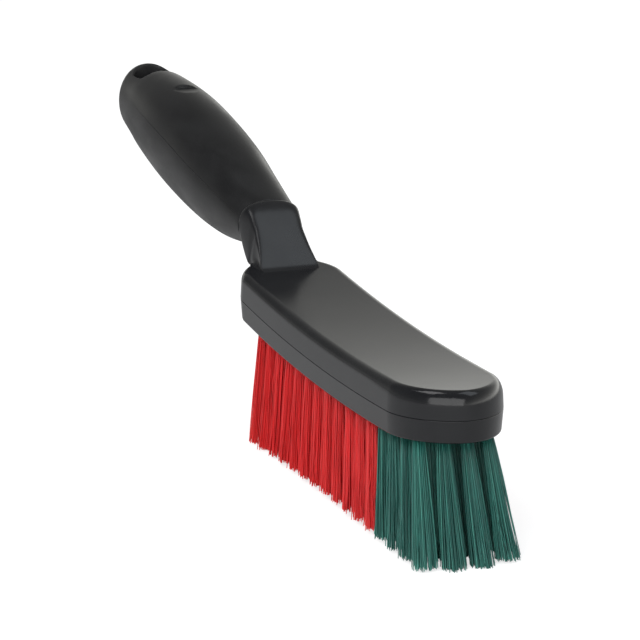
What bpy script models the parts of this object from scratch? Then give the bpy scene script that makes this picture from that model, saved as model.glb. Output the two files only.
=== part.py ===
"""Stiff hand brush: a long block with a raised soft grip and rows of red and green tufts.

Every size is in metres. X runs along the brush towards its toe, Y across it and Z up. Sizes along X
are measured from the rear end of the block, and heights from the plane on which the bristles stand.
At the end the whole brush is moved so that its origin is the middle of its lowest plane.
"""

import math
import random

import bmesh
import bpy
from mathutils import Matrix, Vector

# Block: a straight-sided plan with rounded ends, bent lengthwise to a large radius
BLOCK_LENGTH = 0.1773
BLOCK_WIDTH = 0.038
BLOCK_END_TAPER = 0.0005
TOE_ROUND_LENGTH = 0.0235
REAR_ROUND_LENGTH = 0.0183
BLOCK_BEND_RADIUS = 0.988
BLOCK_LOW_POINT_SHARE = 0.632
END_ROUND_POWER = 1.83

# Carrier below the seam, which holds the tufts, and the cover above it
CARRIER_THICKNESS = 0.0074
CARRIER_DRAFT = 0.0005
CARRIER_EDGE_ROUND = 0.0006
COVER_SIDE_HEIGHT = 0.0061
COVER_DRAFT = 0.0003
COVER_EDGE_ROUND = 0.003
COVER_REAR_DROP = 0.0012
COVER_REAR_DROP_LENGTH = 0.009
SEAM_GAP = 0.0003

# Studs of the cover, which seat in blind sockets of the carrier
STUD_DIAMETER = 0.0045
STUD_HEIGHT = 0.002
STUD_SPREAD_SHARE = 0.21
STUD_ROW_SHARES = (0.15, 0.4, 0.65, 0.9)

# Tufts: rows across the block, each on a slice that seats in a slot of the carrier
BRISTLE_LENGTH = 0.0376
TUFT_DIAMETER = 0.005
TUFT_SPACING = 0.0081
TUFT_EDGE_MARGIN = 0.0066
ROW_PITCH = 0.0093
TOE_ROW_MARGIN = 0.0134
REAR_ROW_MARGIN = 0.013
REAR_ROW_LANES = 2
GREEN_ROWS = 4
TOE_ROW_BOW = 0.0022
TOE_ROW_SQUEEZE_SHARE = 0.07
SLICE_RIM = 0.0005
SLICE_DEPTH = 0.0038

# Strands: one in the middle of a tuft and a ring round it
STRANDS_ROUND_TUFT = 6
STRAND_SIDES = 3
STRAND_RADIUS = 0.00078
STRAND_TIP_SHARE = 0.85
TUFT_SPREAD_SHARE = 1.35
STRAND_ROOT_DEPTH = 0.0012
REAR_LEAN_DEGREES = -2.0
TOE_LEAN_DEGREES = 18.0
LEAN_POWER = 1.3
SIDE_FLARE_DEGREES = 2.5
TOE_FLARE_DEGREES = 1.5
TOE_FAN_POWER = 6
TRIM_RISE = 0.002
TOE_SIDE_TRIM = 0.0012
TRIM_RAGGEDNESS = 0.0006
FLAT_CUT = 0.0005

# Grip: an oval sleeve, widest halfway, with its axis rising to the rear
GRIP_LENGTH = 0.149
GRIP_FRONT_OVERHANG = 0.007
GRIP_WIDTH = 0.0318
GRIP_HEIGHT = 0.0379
GRIP_FRONT_CENTRE_HEIGHT = 0.0707
GRIP_RISE = 0.0201
GRIP_SECTION_POWER = 2.05
TIP_ROUND_LENGTH = 0.0104
TIP_ROUND_POWER = 2.4
GRIP_STATION_SHARES = (0, 0.075, 0.18, 0.28, 0.38, 0.48, 0.58, 0.68, 0.79, 0.85, 0.93, 1)
GRIP_WIDTH_SHARES = (0.723, 0.79, 0.874, 0.956, 0.994, 1, 1, 0.962, 0.892, 0.838, 0.755, 0.66)
GRIP_HEIGHT_SHARES = (0.438, 0.588, 0.776, 0.892, 0.96, 1, 1, 0.965, 0.892, 0.825, 0.755, 0.745)
GRIP_CENTRE_SHARES = (0, 0.052, 0.154, 0.279, 0.403, 0.525, 0.644, 0.75, 0.856, 0.918, 0.985, 1.02)

# Hole through the tip of the grip, to hang the brush on, and a shallow round recess in front of it
HANG_HOLE_LENGTH = 0.0172
HANG_HOLE_WIDTH = 0.0158
HANG_HOLE_CORNER = 0.0025
HANG_HOLE_TIP_WALL = 0.0092
RECESS_DIAMETER = 0.0098
RECESS_DEPTH = 0.0007
RECESS_TO_TIP = 0.0577

# Tang of the body, inside the sleeve: a tube that is open at its rear end
SLEEVE_WALL = 0.0035
SLEEVE_CLEARANCE = 0.0003
TANG_LENGTH = 0.114
TANG_WALL = 0.0022
TANG_BORE_START = 0.006

# Neck: a flat face that slopes from the grip down to the block, with a hollow fillet at its foot
NECK_LENGTH = 0.0235
NECK_HALF_WIDTH = 0.0108
NECK_STATION_SHARES = (0, 0.055, 0.15, 0.25, 0.425, 0.7, 0.86, 0.92, 1)
NECK_FACE_SHARES = (0.99, 0.972, 0.915, 0.83, 0.632, 0.31, 0.122, 0.056, 0)
NECK_WIDTH_SHARES = (1.04, 0.99, 0.92, 0.875, 0.86, 0.9, 0.96, 0.97, 0.94)
NECK_FLARE_SHARES = (0, 0.04, 0.1, 0.14, 0.13, 0.06, 0.01, 0, 0)
NECK_SECTION_POWERS = (2.6, 3.6, 6, 8, 8, 8, 8, 7, 5)
NECK_FLARE_DEPTH = 0.012
NECK_ROOT_DEPTH = 0.0045
NECK_ROOT_WIDTH_SHARE = 0.35
NECK_REAR_DEPTH = 0.002
NECK_BLEND_END = 0.005
FOOT_FILLET = 0.0024
FOOT_FILLET_START = 0.004
FOOT_FILLET_RUN = 0.005

# Overrun of cutting tools, and the depth by which one merged form enters another
OVERRUN = 0.001
SINK = 0.0001

# Numbers of points along and round the shapes
ROUND_POINTS = 9
SIDE_POINTS = 14
EDGE_STEPS = 4
SECTION_POINTS = 32
FACE_POINTS = 9
FILLET_POINTS = 5
GRIP_STATIONS = 26
TIP_STATIONS = 5
TANG_STATIONS = 9
NECK_STATIONS = 16
SLICE_POINTS = 4
SLICE_END_POINTS = 5
CYLINDER_POINTS = 16
SMOOTH_ANGLE = math.radians(32)
RANDOM_SEED = 11

SEAM_LOW_HEIGHT = BRISTLE_LENGTH + CARRIER_THICKNESS
COVER_HEIGHT = COVER_SIDE_HEIGHT + COVER_EDGE_ROUND
TUFT_RADIUS = TUFT_DIAMETER / 2
SLICE_RADIUS = TUFT_RADIUS + SLICE_RIM
GRIP_FRONT = -GRIP_FRONT_OVERHANG
GRIP_TIP = GRIP_FRONT - GRIP_LENGTH
TOE_ROW = BLOCK_LENGTH - TOE_ROW_MARGIN
ROW_COUNT = int((TOE_ROW - REAR_ROW_MARGIN) / ROW_PITCH) + 1
LANE_COUNT = int((BLOCK_WIDTH - 2 * TUFT_EDGE_MARGIN) / TUFT_SPACING) + 1
OUTER_LANE = TUFT_SPACING * (LANE_COUNT - 1) / 2

BLACK_PLASTIC = ("black_plastic", (0.012, 0.012, 0.014), 0.34)
BLACK_RUBBER = ("black_rubber", (0.01, 0.01, 0.011), 0.5)
RED_BRISTLE = ("red_bristle", (0.55, 0.016, 0.025), 0.45)
GREEN_BRISTLE = ("green_bristle", (0.018, 0.115, 0.09), 0.45)


def smooth_value(stations, values, place):
    """Value at a place of a table, on a curve that passes smoothly through the table's points."""
    last = len(stations) - 1
    i = 0
    while i < last - 1 and place > stations[i + 1]:
        i += 1
    before = max(i - 1, 0)
    after = min(i + 2, last)
    span = stations[i + 1] - stations[i]
    t = min(max((place - stations[i]) / span, 0), 1)
    slope_in = (values[i + 1] - values[before]) / (stations[i + 1] - stations[before]) * span
    slope_out = (values[after] - values[i]) / (stations[after] - stations[i]) * span
    a = (2 * t**3 - 3 * t**2 + 1) * values[i] + (t**3 - 2 * t**2 + t) * slope_in
    b = (3 * t**2 - 2 * t**3) * values[i + 1] + (t**3 - t**2) * slope_out
    return a + b


def smooth_step(value):
    """Smooth change from none to all as the value passes from nought to one."""
    t = min(max(value, 0), 1)
    return t * t * (3 - 2 * t)


def seam_height(x):
    """Height of the seam between cover and carrier, which follows the bend of the block."""
    from_low_point = x - BLOCK_LOW_POINT_SHARE * BLOCK_LENGTH
    return SEAM_LOW_HEIGHT + from_low_point**2 / (2 * BLOCK_BEND_RADIUS)


def cover_rise(x, rise):
    """Rise from the seam of a place on the block, whose cover drops a little towards its rear end."""
    to_rear = max(1 - x / COVER_REAR_DROP_LENGTH, 0) if rise > 0 else 0
    return rise * (1 - COVER_REAR_DROP / COVER_HEIGHT * to_rear**2)


def cover_top(x):
    """Height of the top of the block."""
    return seam_height(x) + cover_rise(x, COVER_HEIGHT)


def underside(x):
    """Height of the lower face of the block."""
    return seam_height(x) - CARRIER_THICKNESS


def block_side(inset):
    """Points of one side of the block's plan, from the rear end to the toe, drawn in by an inset."""
    half_width = BLOCK_WIDTH / 2
    middle = BLOCK_LENGTH / 2

    def side(x):
        return half_width - BLOCK_END_TAPER * ((x - middle) / middle) ** 2 - inset

    def round_end(length, steps):
        reach = length - inset
        for step in steps:
            turn = math.pi / 2 * step / ROUND_POINTS
            along = reach * math.cos(turn) ** (2 / END_ROUND_POWER)
            yield along, math.sin(turn) ** (2 / END_ROUND_POWER)

    points = [(inset, 0.0)]
    for along, across in round_end(REAR_ROUND_LENGTH, range(1, ROUND_POINTS)):
        points.append((REAR_ROUND_LENGTH - along, side(REAR_ROUND_LENGTH) * across))
    straight = BLOCK_LENGTH - REAR_ROUND_LENGTH - TOE_ROUND_LENGTH
    for step in range(SIDE_POINTS + 1):
        x = REAR_ROUND_LENGTH + straight * step / SIDE_POINTS
        points.append((x, side(x)))
    toe_centre = BLOCK_LENGTH - TOE_ROUND_LENGTH
    for along, across in round_end(TOE_ROUND_LENGTH, range(ROUND_POINTS - 1, 0, -1)):
        points.append((toe_centre + along, side(toe_centre) * across))
    points.append((BLOCK_LENGTH - inset, 0.0))
    return points


def new_mesh(name, vertices, faces):
    """Mesh made of vertices and faces."""
    mesh = bpy.data.meshes.new(name)
    mesh.from_pydata([tuple(v) for v in vertices], [], faces)
    mesh.validate()
    mesh.update()
    return mesh


def slab_mesh(name, layers):
    """Closed body on the block's plan: each layer, from the bottom up, is an inset and a rise from the seam."""
    vertices = []
    faces = []
    for inset, rise in layers:
        side = block_side(inset)
        for x, y in side:
            vertices.append((x, -y, seam_height(x) + cover_rise(x, rise)))
        for x, y in reversed(side[1:-1]):
            vertices.append((x, y, seam_height(x) + cover_rise(x, rise)))
    last = len(block_side(0)) - 1
    ring = 2 * last
    for layer in range(len(layers) - 1):
        for i in range(ring):
            a = layer * ring + i
            b = layer * ring + (i + 1) % ring
            faces.append((a, b, b + ring, a + ring))
    top = (len(layers) - 1) * ring
    for i in range(last):
        lower = [i, (ring - i) % ring, (ring - i - 1) % ring, i + 1]
        lower = list(dict.fromkeys(lower))
        faces.append(tuple(lower))
        faces.append(tuple(top + v for v in reversed(lower)))
    return new_mesh(name, vertices, faces)


def loft_mesh(name, rings):
    """Closed body through rings of as many points each, closed at both ends by a face or a point."""
    vertices = []
    starts = []
    for ring in rings:
        starts.append(len(vertices))
        vertices.extend(ring)
    count = max(len(ring) for ring in rings)
    faces = []
    for k in range(len(rings) - 1):
        a = starts[k]
        b = starts[k + 1]
        for i in range(count):
            j = (i + 1) % count
            if len(rings[k]) == 1:
                faces.append((a, b + i, b + j))
            elif len(rings[k + 1]) == 1:
                faces.append((a + j, a + i, b))
            else:
                faces.append((a + i, b + i, b + j, a + j))
    if len(rings[0]) > 1:
        faces.append(tuple(range(count)))
    if len(rings[-1]) > 1:
        faces.append(tuple(starts[-1] + i for i in reversed(range(count))))
    return new_mesh(name, vertices, faces)


def prism_mesh(name, outline, bottom, top):
    """Closed body over an outline, whose two ends lie at heights that are functions of x."""
    count = len(outline)
    vertices = [(x, y, bottom(x)) for x, y in outline]
    vertices += [(x, y, top(x)) for x, y in outline]
    faces = [tuple(reversed(range(count))), tuple(range(count, 2 * count))]
    for i in range(count):
        j = (i + 1) % count
        faces.append((i, j, count + j, count + i))
    return new_mesh(name, vertices, faces)


def circle_outline(x, y, radius):
    """Outline of a round stud, socket or recess."""
    turns = [2 * math.pi * i / CYLINDER_POINTS for i in range(CYLINDER_POINTS)]
    return [(x + radius * math.cos(t), y + radius * math.sin(t)) for t in turns]


def new_object(name, mesh, finish=None):
    """Object with its faces turned outwards and a material of its own."""
    shape = bmesh.new()
    shape.from_mesh(mesh)
    bmesh.ops.recalc_face_normals(shape, faces=shape.faces)
    shape.to_mesh(mesh)
    shape.free()
    part = bpy.data.objects.new(name, mesh)
    bpy.context.scene.collection.objects.link(part)
    if finish:
        mesh.materials.append(new_material(name, *finish))
    return part


def new_material(part_name, finish_name, colour, roughness):
    """Principled material of one part."""
    material = bpy.data.materials.new(f"{part_name}_{finish_name}")
    material.use_nodes = True
    shader = material.node_tree.nodes["Principled BSDF"]
    shader.inputs["Base Color"].default_value = (*colour, 1)
    shader.inputs["Roughness"].default_value = roughness
    material.diffuse_color = (*colour, 1)
    return material


def combine(part, tool, operation):
    """Join a tool body to a part, or cut it away, and remove the tool."""
    change = part.modifiers.new(tool.name, "BOOLEAN")
    change.operation = operation
    change.solver = "EXACT"
    change.object = tool
    tool.hide_render = True
    tool.display_type = "WIRE"
    old_mesh = part.data
    evaluated = part.evaluated_get(bpy.context.evaluated_depsgraph_get())
    part.data = bpy.data.meshes.new_from_object(evaluated)
    part.modifiers.remove(change)
    tool_mesh = tool.data
    bpy.data.objects.remove(tool)
    bpy.data.meshes.remove(tool_mesh)
    bpy.data.meshes.remove(old_mesh)


def shade_round(part):
    """Shade the curved faces of a part smoothly and keep its edges crisp."""
    part.data.shade_smooth()
    part.data.set_sharp_from_angle(angle=SMOOTH_ANGLE)


def grip_section(x, offset):
    """Half width, half height and centre height of the grip at x, drawn in by an offset."""
    share = (GRIP_FRONT - x) / GRIP_LENGTH
    half_width = GRIP_WIDTH / 2 * smooth_value(GRIP_STATION_SHARES, GRIP_WIDTH_SHARES, share)
    half_height = GRIP_HEIGHT / 2 * smooth_value(GRIP_STATION_SHARES, GRIP_HEIGHT_SHARES, share)
    rise = GRIP_RISE * smooth_value(GRIP_STATION_SHARES, GRIP_CENTRE_SHARES, share)
    into_tip = (TIP_ROUND_LENGTH - (x - GRIP_TIP)) / TIP_ROUND_LENGTH
    closing = math.sqrt(max(1 - max(into_tip, 0) ** TIP_ROUND_POWER, 0))
    centre = GRIP_FRONT_CENTRE_HEIGHT + rise
    return half_width * closing - offset, half_height * closing - offset, centre


def oval_ring(x, half_width, half_height, centre, power):
    """Ring of points across the handle, from its top round by its left side."""
    ring = []
    for i in range(SECTION_POINTS):
        turn = 2 * math.pi * i / SECTION_POINTS
        across = math.copysign(abs(math.sin(turn)) ** (2 / power), math.sin(turn))
        up = math.copysign(abs(math.cos(turn)) ** (2 / power), math.cos(turn))
        ring.append((x, -half_width * across, centre + half_height * up))
    return ring


def grip_rings(offset, start, end, count):
    """Rings of the grip between two places along it, drawn in by an offset."""
    rings = []
    for step in range(count + 1):
        x = start + (end - start) * step / count
        rings.append(oval_ring(x, *grip_section(x, offset), GRIP_SECTION_POWER))
    return rings


def tang_end():
    """Place of the tang's rear end."""
    return GRIP_FRONT - TANG_LENGTH


def hang_hole_outline():
    """Outline of the hanging hole: straight in front with small corners, and half round at the tip."""
    radius = HANG_HOLE_WIDTH / 2
    rear = GRIP_TIP + HANG_HOLE_TIP_WALL
    front = rear + HANG_HOLE_LENGTH
    quarter = CYLINDER_POINTS // 4
    outline = []
    for i in range(2 * quarter + 1):
        turn = math.pi / 2 + math.pi / 2 * i / quarter
        outline.append((rear + radius + radius * math.cos(turn), radius * math.sin(turn)))
    for side in (-1, 1):
        for i in range(quarter + 1):
            turn = math.pi / 2 * (i / quarter - (1 if side < 0 else 0))
            x = front - HANG_HOLE_CORNER + HANG_HOLE_CORNER * math.cos(turn)
            y = side * (radius - HANG_HOLE_CORNER) + HANG_HOLE_CORNER * math.sin(turn)
            outline.append((x, y))
    return outline


def make_grip_sleeve():
    """Soft sleeve over the tang, with the hanging hole through its solid tip."""
    inner = SLEEVE_WALL
    cavity_end = tang_end() - SLEEVE_CLEARANCE
    cavity = grip_rings(inner, cavity_end, GRIP_FRONT, TANG_STATIONS)
    outer = grip_rings(0, GRIP_FRONT, GRIP_TIP + TIP_ROUND_LENGTH, GRIP_STATIONS)
    for step in range(1, TIP_STATIONS):
        reach = TIP_ROUND_LENGTH * (1 - math.sin(math.pi / 2 * step / TIP_STATIONS))
        x = GRIP_TIP + reach
        outer.append(oval_ring(x, *grip_section(x, 0), GRIP_SECTION_POWER))
    tip_height = grip_section(GRIP_TIP, 0)[2]
    rings = cavity + outer + [[(GRIP_TIP, 0.0, tip_height)]]
    sleeve = new_object("grip_sleeve", loft_mesh("grip_sleeve", rings), BLACK_RUBBER)

    highest = GRIP_FRONT_CENTRE_HEIGHT + GRIP_RISE + GRIP_HEIGHT
    hole = prism_mesh("hang_hole", hang_hole_outline(), lambda x: SEAM_LOW_HEIGHT, lambda x: highest)
    combine(sleeve, new_object("hang_hole", hole), "DIFFERENCE")

    recess_x = GRIP_TIP + RECESS_TO_TIP
    half_height, centre = grip_section(recess_x, 0)[1:]
    floor = centre + half_height - RECESS_DEPTH
    outline = circle_outline(recess_x, 0, RECESS_DIAMETER / 2)
    recess = prism_mesh("thumb_recess", outline, lambda x: floor, lambda x: highest)
    combine(sleeve, new_object("thumb_recess", recess), "DIFFERENCE")
    shade_round(sleeve)
    return sleeve


def neck_foot_side(x, top, half_width, power):
    """Side of a section through the neck's foot, from its top down into the block."""
    block_top = cover_top(x)
    fillet = min(FOOT_FILLET, max(top - block_top, 0) / 2)
    spread = fillet * smooth_step((x - FOOT_FILLET_START) / FOOT_FILLET_RUN)
    shoulder = block_top + fillet
    side = []
    for i in range(FACE_POINTS + 1):
        turn = math.pi / 2 * i / FACE_POINTS
        y = half_width * math.sin(turn) ** (2 / power)
        side.append((y, shoulder + (top - shoulder) * max(math.cos(turn), 0) ** (2 / power)))
    for i in range(1, FILLET_POINTS + 1):
        turn = math.pi / 2 * i / FILLET_POINTS
        y = half_width + spread * (1 - math.cos(turn))
        side.append((y, shoulder - (shoulder - block_top + SINK) * math.sin(turn)))
    side.append((side[-1][0] * NECK_ROOT_WIDTH_SHARE, block_top - NECK_ROOT_DEPTH))
    side.append((0, block_top - NECK_ROOT_DEPTH))
    return side


def neck_ring(share):
    """Ring of the neck at a share of its length, from the grip's front to the neck's foot."""
    start = GRIP_FRONT + SEAM_GAP
    x = start + NECK_LENGTH * share
    half_height, centre = grip_section(GRIP_FRONT, 0)[1:]
    foot_top = cover_top(start + NECK_LENGTH) - SINK
    face_share = smooth_value(NECK_STATION_SHARES, NECK_FACE_SHARES, share)
    top = foot_top + (centre + half_height - foot_top) * face_share
    half_width = NECK_HALF_WIDTH * smooth_value(NECK_STATION_SHARES, NECK_WIDTH_SHARES, share)
    power = smooth_value(NECK_STATION_SHARES, NECK_SECTION_POWERS, share)
    grip_bottom = centre - half_height
    rear_bottom = cover_top(0) - NECK_REAR_DEPTH
    bottom = grip_bottom + (rear_bottom - grip_bottom) * min((x - start) / -start, 1)
    bottom = min(bottom, top - SEAM_GAP)
    oval = oval_ring(x, half_width, (top - bottom) / 2, (top + bottom) / 2, power)
    side = neck_foot_side(x, top, half_width, power)
    foot = [(x, -y, z) for y, z in side] + [(x, y, z) for y, z in side[-2:0:-1]]
    mix = smooth_step(x / NECK_BLEND_END)
    ring = [Vector(a).lerp(Vector(b), mix) for a, b in zip(oval, foot)]
    flare = smooth_value(NECK_STATION_SHARES, NECK_FLARE_SHARES, share)
    for point in ring:
        point.y *= 1 + flare * smooth_step((top - point.z) / NECK_FLARE_DEPTH)
    return ring


def handle_mesh():
    """Neck and tang as one body, from the neck's foot back to the open end of the tang and into its bore."""
    rings = [neck_ring(1 - step / NECK_STATIONS) for step in range(NECK_STATIONS + 1)]
    outer = SLEEVE_WALL + SLEEVE_CLEARANCE
    rings += grip_rings(outer, GRIP_FRONT + SEAM_GAP, tang_end(), TANG_STATIONS)
    rings += grip_rings(outer + TANG_WALL, tang_end(), GRIP_FRONT - TANG_BORE_START, TANG_STATIONS)
    return loft_mesh("handle", rings)


def stud_places():
    """Places of the studs, between the rows of tufts."""
    places = []
    for share in STUD_ROW_SHARES:
        x = row_place(int(share * (ROW_COUNT - 1))) + ROW_PITCH / 2
        for side in (-1, 1):
            places.append((x, side * STUD_SPREAD_SHARE * BLOCK_WIDTH))
    return places


def make_brush_body():
    """Cover of the block, neck and tang in one moulding, with studs below."""
    layers = [(0, SEAM_GAP / 2), (COVER_DRAFT, COVER_SIDE_HEIGHT)]
    for step in range(1, EDGE_STEPS + 1):
        turn = math.pi / 2 * step / EDGE_STEPS
        inset = COVER_DRAFT + COVER_EDGE_ROUND * (1 - math.cos(turn))
        layers.append((inset, COVER_SIDE_HEIGHT + COVER_EDGE_ROUND * math.sin(turn)))
    body = new_object("brush_body", slab_mesh("brush_body", layers), BLACK_PLASTIC)
    combine(body, new_object("handle", handle_mesh()), "UNION")
    for x, y in stud_places():
        foot = seam_height(x) - STUD_HEIGHT
        head = seam_height(x) + OVERRUN
        outline = circle_outline(x, y, STUD_DIAMETER / 2)
        stud = prism_mesh("stud", outline, lambda at, z=foot: z, lambda at, z=head: z)
        combine(body, new_object("stud", stud), "UNION")
    shade_round(body)
    return body


def row_place(row):
    """Place along the block of a row of tufts, counted from the rear."""
    return TOE_ROW - (ROW_COUNT - 1 - row) * ROW_PITCH


def toe_share(row):
    """Share by which a row follows the round toe: nearly nothing, but all of it in the last row."""
    return (row_place(row) / TOE_ROW) ** TOE_FAN_POWER


def row_bow(row, y):
    """Distance by which a tuft at y stands behind the middle of its row, which follows the round toe."""
    return TOE_ROW_BOW * toe_share(row) * (y / OUTER_LANE) ** 2


def row_lanes(row):
    """Places across the block of the tufts in a row."""
    count = min(REAR_ROW_LANES, LANE_COUNT) if row == 0 else LANE_COUNT
    spacing = TUFT_SPACING * (1 - TOE_ROW_SQUEEZE_SHARE * toe_share(row))
    return [spacing * (i - (count - 1) / 2) for i in range(count)]


def slice_outline(row, clearance):
    """Outline of the slice that carries a row: a bowed bar with round ends, grown by a clearance."""
    reach = row_lanes(row)[-1]
    radius = SLICE_RADIUS + clearance
    x = row_place(row)
    outline = []
    for side in (1, -1):
        for i in range(SLICE_POINTS + 1):
            y = -side * reach + 2 * side * reach * i / SLICE_POINTS
            outline.append((x - row_bow(row, y) + side * radius, y))
        end_x = x - row_bow(row, reach)
        for i in range(1, SLICE_END_POINTS):
            turn = math.pi * i / SLICE_END_POINTS
            outline.append((end_x + side * radius * math.cos(turn), side * (reach + radius * math.sin(turn))))
    return outline


def make_tuft_carrier():
    """Lower half of the block, with a slot for each row's slice and sockets for the studs."""
    draft = CARRIER_DRAFT
    layers = [
        (draft + CARRIER_EDGE_ROUND, -CARRIER_THICKNESS),
        (draft, CARRIER_EDGE_ROUND - CARRIER_THICKNESS),
        (0, -SEAM_GAP / 2),
    ]
    carrier = new_object("tuft_carrier", slab_mesh("tuft_carrier", layers), BLACK_PLASTIC)
    for row in range(ROW_COUNT):
        outline = slice_outline(row, SEAM_GAP)
        slot = prism_mesh(
            "slot",
            outline,
            lambda x: underside(x) - OVERRUN,
            lambda x: underside(x) + SLICE_DEPTH + SEAM_GAP,
        )
        combine(carrier, new_object("slot", slot), "DIFFERENCE")
    for x, y in stud_places():
        floor = seam_height(x) - STUD_HEIGHT - SEAM_GAP
        mouth = seam_height(x) + OVERRUN
        outline = circle_outline(x, y, STUD_DIAMETER / 2 + SEAM_GAP)
        socket = prism_mesh("socket", outline, lambda at, z=floor: z, lambda at, z=mouth: z)
        combine(carrier, new_object("socket", socket), "DIFFERENCE")
    shade_round(carrier)
    return carrier


def trim_height(x, y):
    """Height to which bristles are trimmed: level at both ends, a little higher between and beside the toe."""
    rear = row_place(0)
    share = min(max((x - rear) / (BLOCK_LENGTH - rear), 0), 1)
    beside_toe = TOE_SIDE_TRIM * share**TOE_FAN_POWER * (y / OUTER_LANE) ** 2
    return TRIM_RISE * 4 * share * (1 - share) + beside_toe


def tuft_lean(row, y):
    """Slope of a tuft along and across the brush."""
    share = row / max(ROW_COUNT - 1, 1)
    degrees = REAR_LEAN_DEGREES + (TOE_LEAN_DEGREES - REAR_LEAN_DEGREES) * share**LEAN_POWER
    flare = (SIDE_FLARE_DEGREES + TOE_FLARE_DEGREES * toe_share(row)) * y / OUTER_LANE
    return math.tan(math.radians(degrees)), math.tan(math.radians(flare))


def strand_points(row, y, chance):
    """Root and tip of each strand of a tuft."""
    tuft_x = row_place(row) - row_bow(row, y)
    root_height = underside(tuft_x)
    slope_x, slope_y = tuft_lean(row, y)
    ring = TUFT_RADIUS - STRAND_RADIUS
    offsets = [(0, 0)]
    for i in range(STRANDS_ROUND_TUFT):
        turn = 2 * math.pi * i / STRANDS_ROUND_TUFT
        offsets.append((ring * math.cos(turn), ring * math.sin(turn)))
    pairs = []
    for dx, dy in offsets:
        root_x = tuft_x + dx
        root_y = y + dy
        ragged = TRIM_RAGGEDNESS * chance.random()
        end = max(trim_height(root_x + slope_x * root_height, y) + ragged - FLAT_CUT, 0)
        drop = root_height - end
        tip_x = tuft_x + dx * TUFT_SPREAD_SHARE + slope_x * drop
        tip_y = y + dy * TUFT_SPREAD_SHARE + slope_y * drop
        lift = STRAND_ROOT_DEPTH / drop
        root = Vector((root_x + (root_x - tip_x) * lift, root_y + (root_y - tip_y) * lift, root_height))
        root.z += STRAND_ROOT_DEPTH
        pairs.append((root, Vector((tip_x, tip_y, end))))
    return pairs


def strand_mesh(row):
    """All strands of a row as separate three-sided rods."""
    chance = random.Random(RANDOM_SEED + row)
    vertices = []
    faces = []
    for y in row_lanes(row):
        for root, tip in strand_points(row, y, chance):
            first = len(vertices)
            twist = 2 * math.pi * chance.random()
            for centre, radius in ((root, STRAND_RADIUS), (tip, STRAND_RADIUS * STRAND_TIP_SHARE)):
                for i in range(STRAND_SIDES):
                    turn = twist + 2 * math.pi * i / STRAND_SIDES
                    offset = Vector((radius * math.cos(turn), radius * math.sin(turn), 0))
                    vertices.append(centre + offset)
            top = [first + i for i in range(STRAND_SIDES)]
            end = [v + STRAND_SIDES for v in top]
            faces.append(tuple(top))
            faces.append(tuple(reversed(end)))
            for i in range(STRAND_SIDES):
                j = (i + 1) % STRAND_SIDES
                faces.append((top[i], end[i], end[j], top[j]))
    return new_mesh("strands", vertices, faces)


def make_tuft_row(row):
    """One row of tufts, whose strands are fused to the slice that carries them."""
    green = row >= ROW_COUNT - GREEN_ROWS
    colour_name = "green" if green else "red"
    number = row - (ROW_COUNT - GREEN_ROWS) + 1 if green else row + 1
    name = f"{colour_name}_tuft_row_{number:02d}"
    outline = slice_outline(row, 0)
    bar = prism_mesh(name, outline, underside, lambda x: underside(x) + SLICE_DEPTH)
    tuft_row = new_object(name, bar, GREEN_BRISTLE if green else RED_BRISTLE)
    combine(tuft_row, new_object("strands", strand_mesh(row)), "UNION")
    return tuft_row


def place_on_origin(parts):
    """Move the whole brush so that the middle of its lowest plane is the origin."""
    carrier_empty = bpy.data.objects.new("brush_origin", None)
    bpy.context.scene.collection.objects.link(carrier_empty)
    lengthwise = [vertex.co.x for part in parts for vertex in part.data.vertices]
    middle = (min(lengthwise) + max(lengthwise)) / 2
    carrier_empty.location = (-middle, 0, 0)
    for part in parts:
        part.parent = carrier_empty
        part.matrix_parent_inverse = Matrix.Identity(4)


def main():
    """Build every part of the brush."""
    for old in list(bpy.data.objects):
        bpy.data.objects.remove(old, do_unlink=True)
    parts = [make_brush_body(), make_tuft_carrier(), make_grip_sleeve()]
    parts += [make_tuft_row(row) for row in range(ROW_COUNT)]
    place_on_origin(parts)


main()
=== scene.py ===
"""Dresses the stiff hand brush: fine surfaces, filaments, finishes, studio and camera.

Lengths are in metres. Pieces are modelled with X measured from the rear end of the block towards its
toe, Y across the brush and Z up from the plane of the bristle tips, and are then moved along X into
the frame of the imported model.
"""

import logging
import math
from abc import ABC, abstractmethod
from contextlib import contextmanager
from dataclasses import dataclass
from enum import Enum
from typing import Callable, ClassVar, Iterator, NamedTuple, Sequence

import bmesh
import bpy
import numpy as np
from mathutils import Matrix, Vector


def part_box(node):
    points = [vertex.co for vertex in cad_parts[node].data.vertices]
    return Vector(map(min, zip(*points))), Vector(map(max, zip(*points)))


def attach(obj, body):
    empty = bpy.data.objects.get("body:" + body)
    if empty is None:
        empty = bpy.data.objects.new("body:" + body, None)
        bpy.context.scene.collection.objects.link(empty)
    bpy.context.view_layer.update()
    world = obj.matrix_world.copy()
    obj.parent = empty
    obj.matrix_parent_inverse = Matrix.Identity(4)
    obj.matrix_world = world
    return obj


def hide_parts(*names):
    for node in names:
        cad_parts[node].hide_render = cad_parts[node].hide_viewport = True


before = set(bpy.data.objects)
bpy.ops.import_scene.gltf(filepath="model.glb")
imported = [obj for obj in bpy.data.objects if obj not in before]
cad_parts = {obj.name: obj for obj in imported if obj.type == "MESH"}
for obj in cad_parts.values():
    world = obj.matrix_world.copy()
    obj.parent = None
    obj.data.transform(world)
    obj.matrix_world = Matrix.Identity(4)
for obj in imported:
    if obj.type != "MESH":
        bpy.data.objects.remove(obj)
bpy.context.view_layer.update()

LOG = logging.getLogger("hand_brush")
MM = 0.001
IMAGE_SIZE = 640
FULL_TURN = 2 * math.pi
QUARTER_TURN = math.pi / 2
SAME_PLACE = 1e-6
SAME_LEVEL = 1e-7

Pair = tuple[float, float]
Point = tuple[float, float, float]
Table = tuple[float, ...]
Face = tuple[int, ...]
Rule = Callable[[Vector], Vector]
MeshElement = bmesh.types.BMEdge | bmesh.types.BMFace


# Shader graphs


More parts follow.
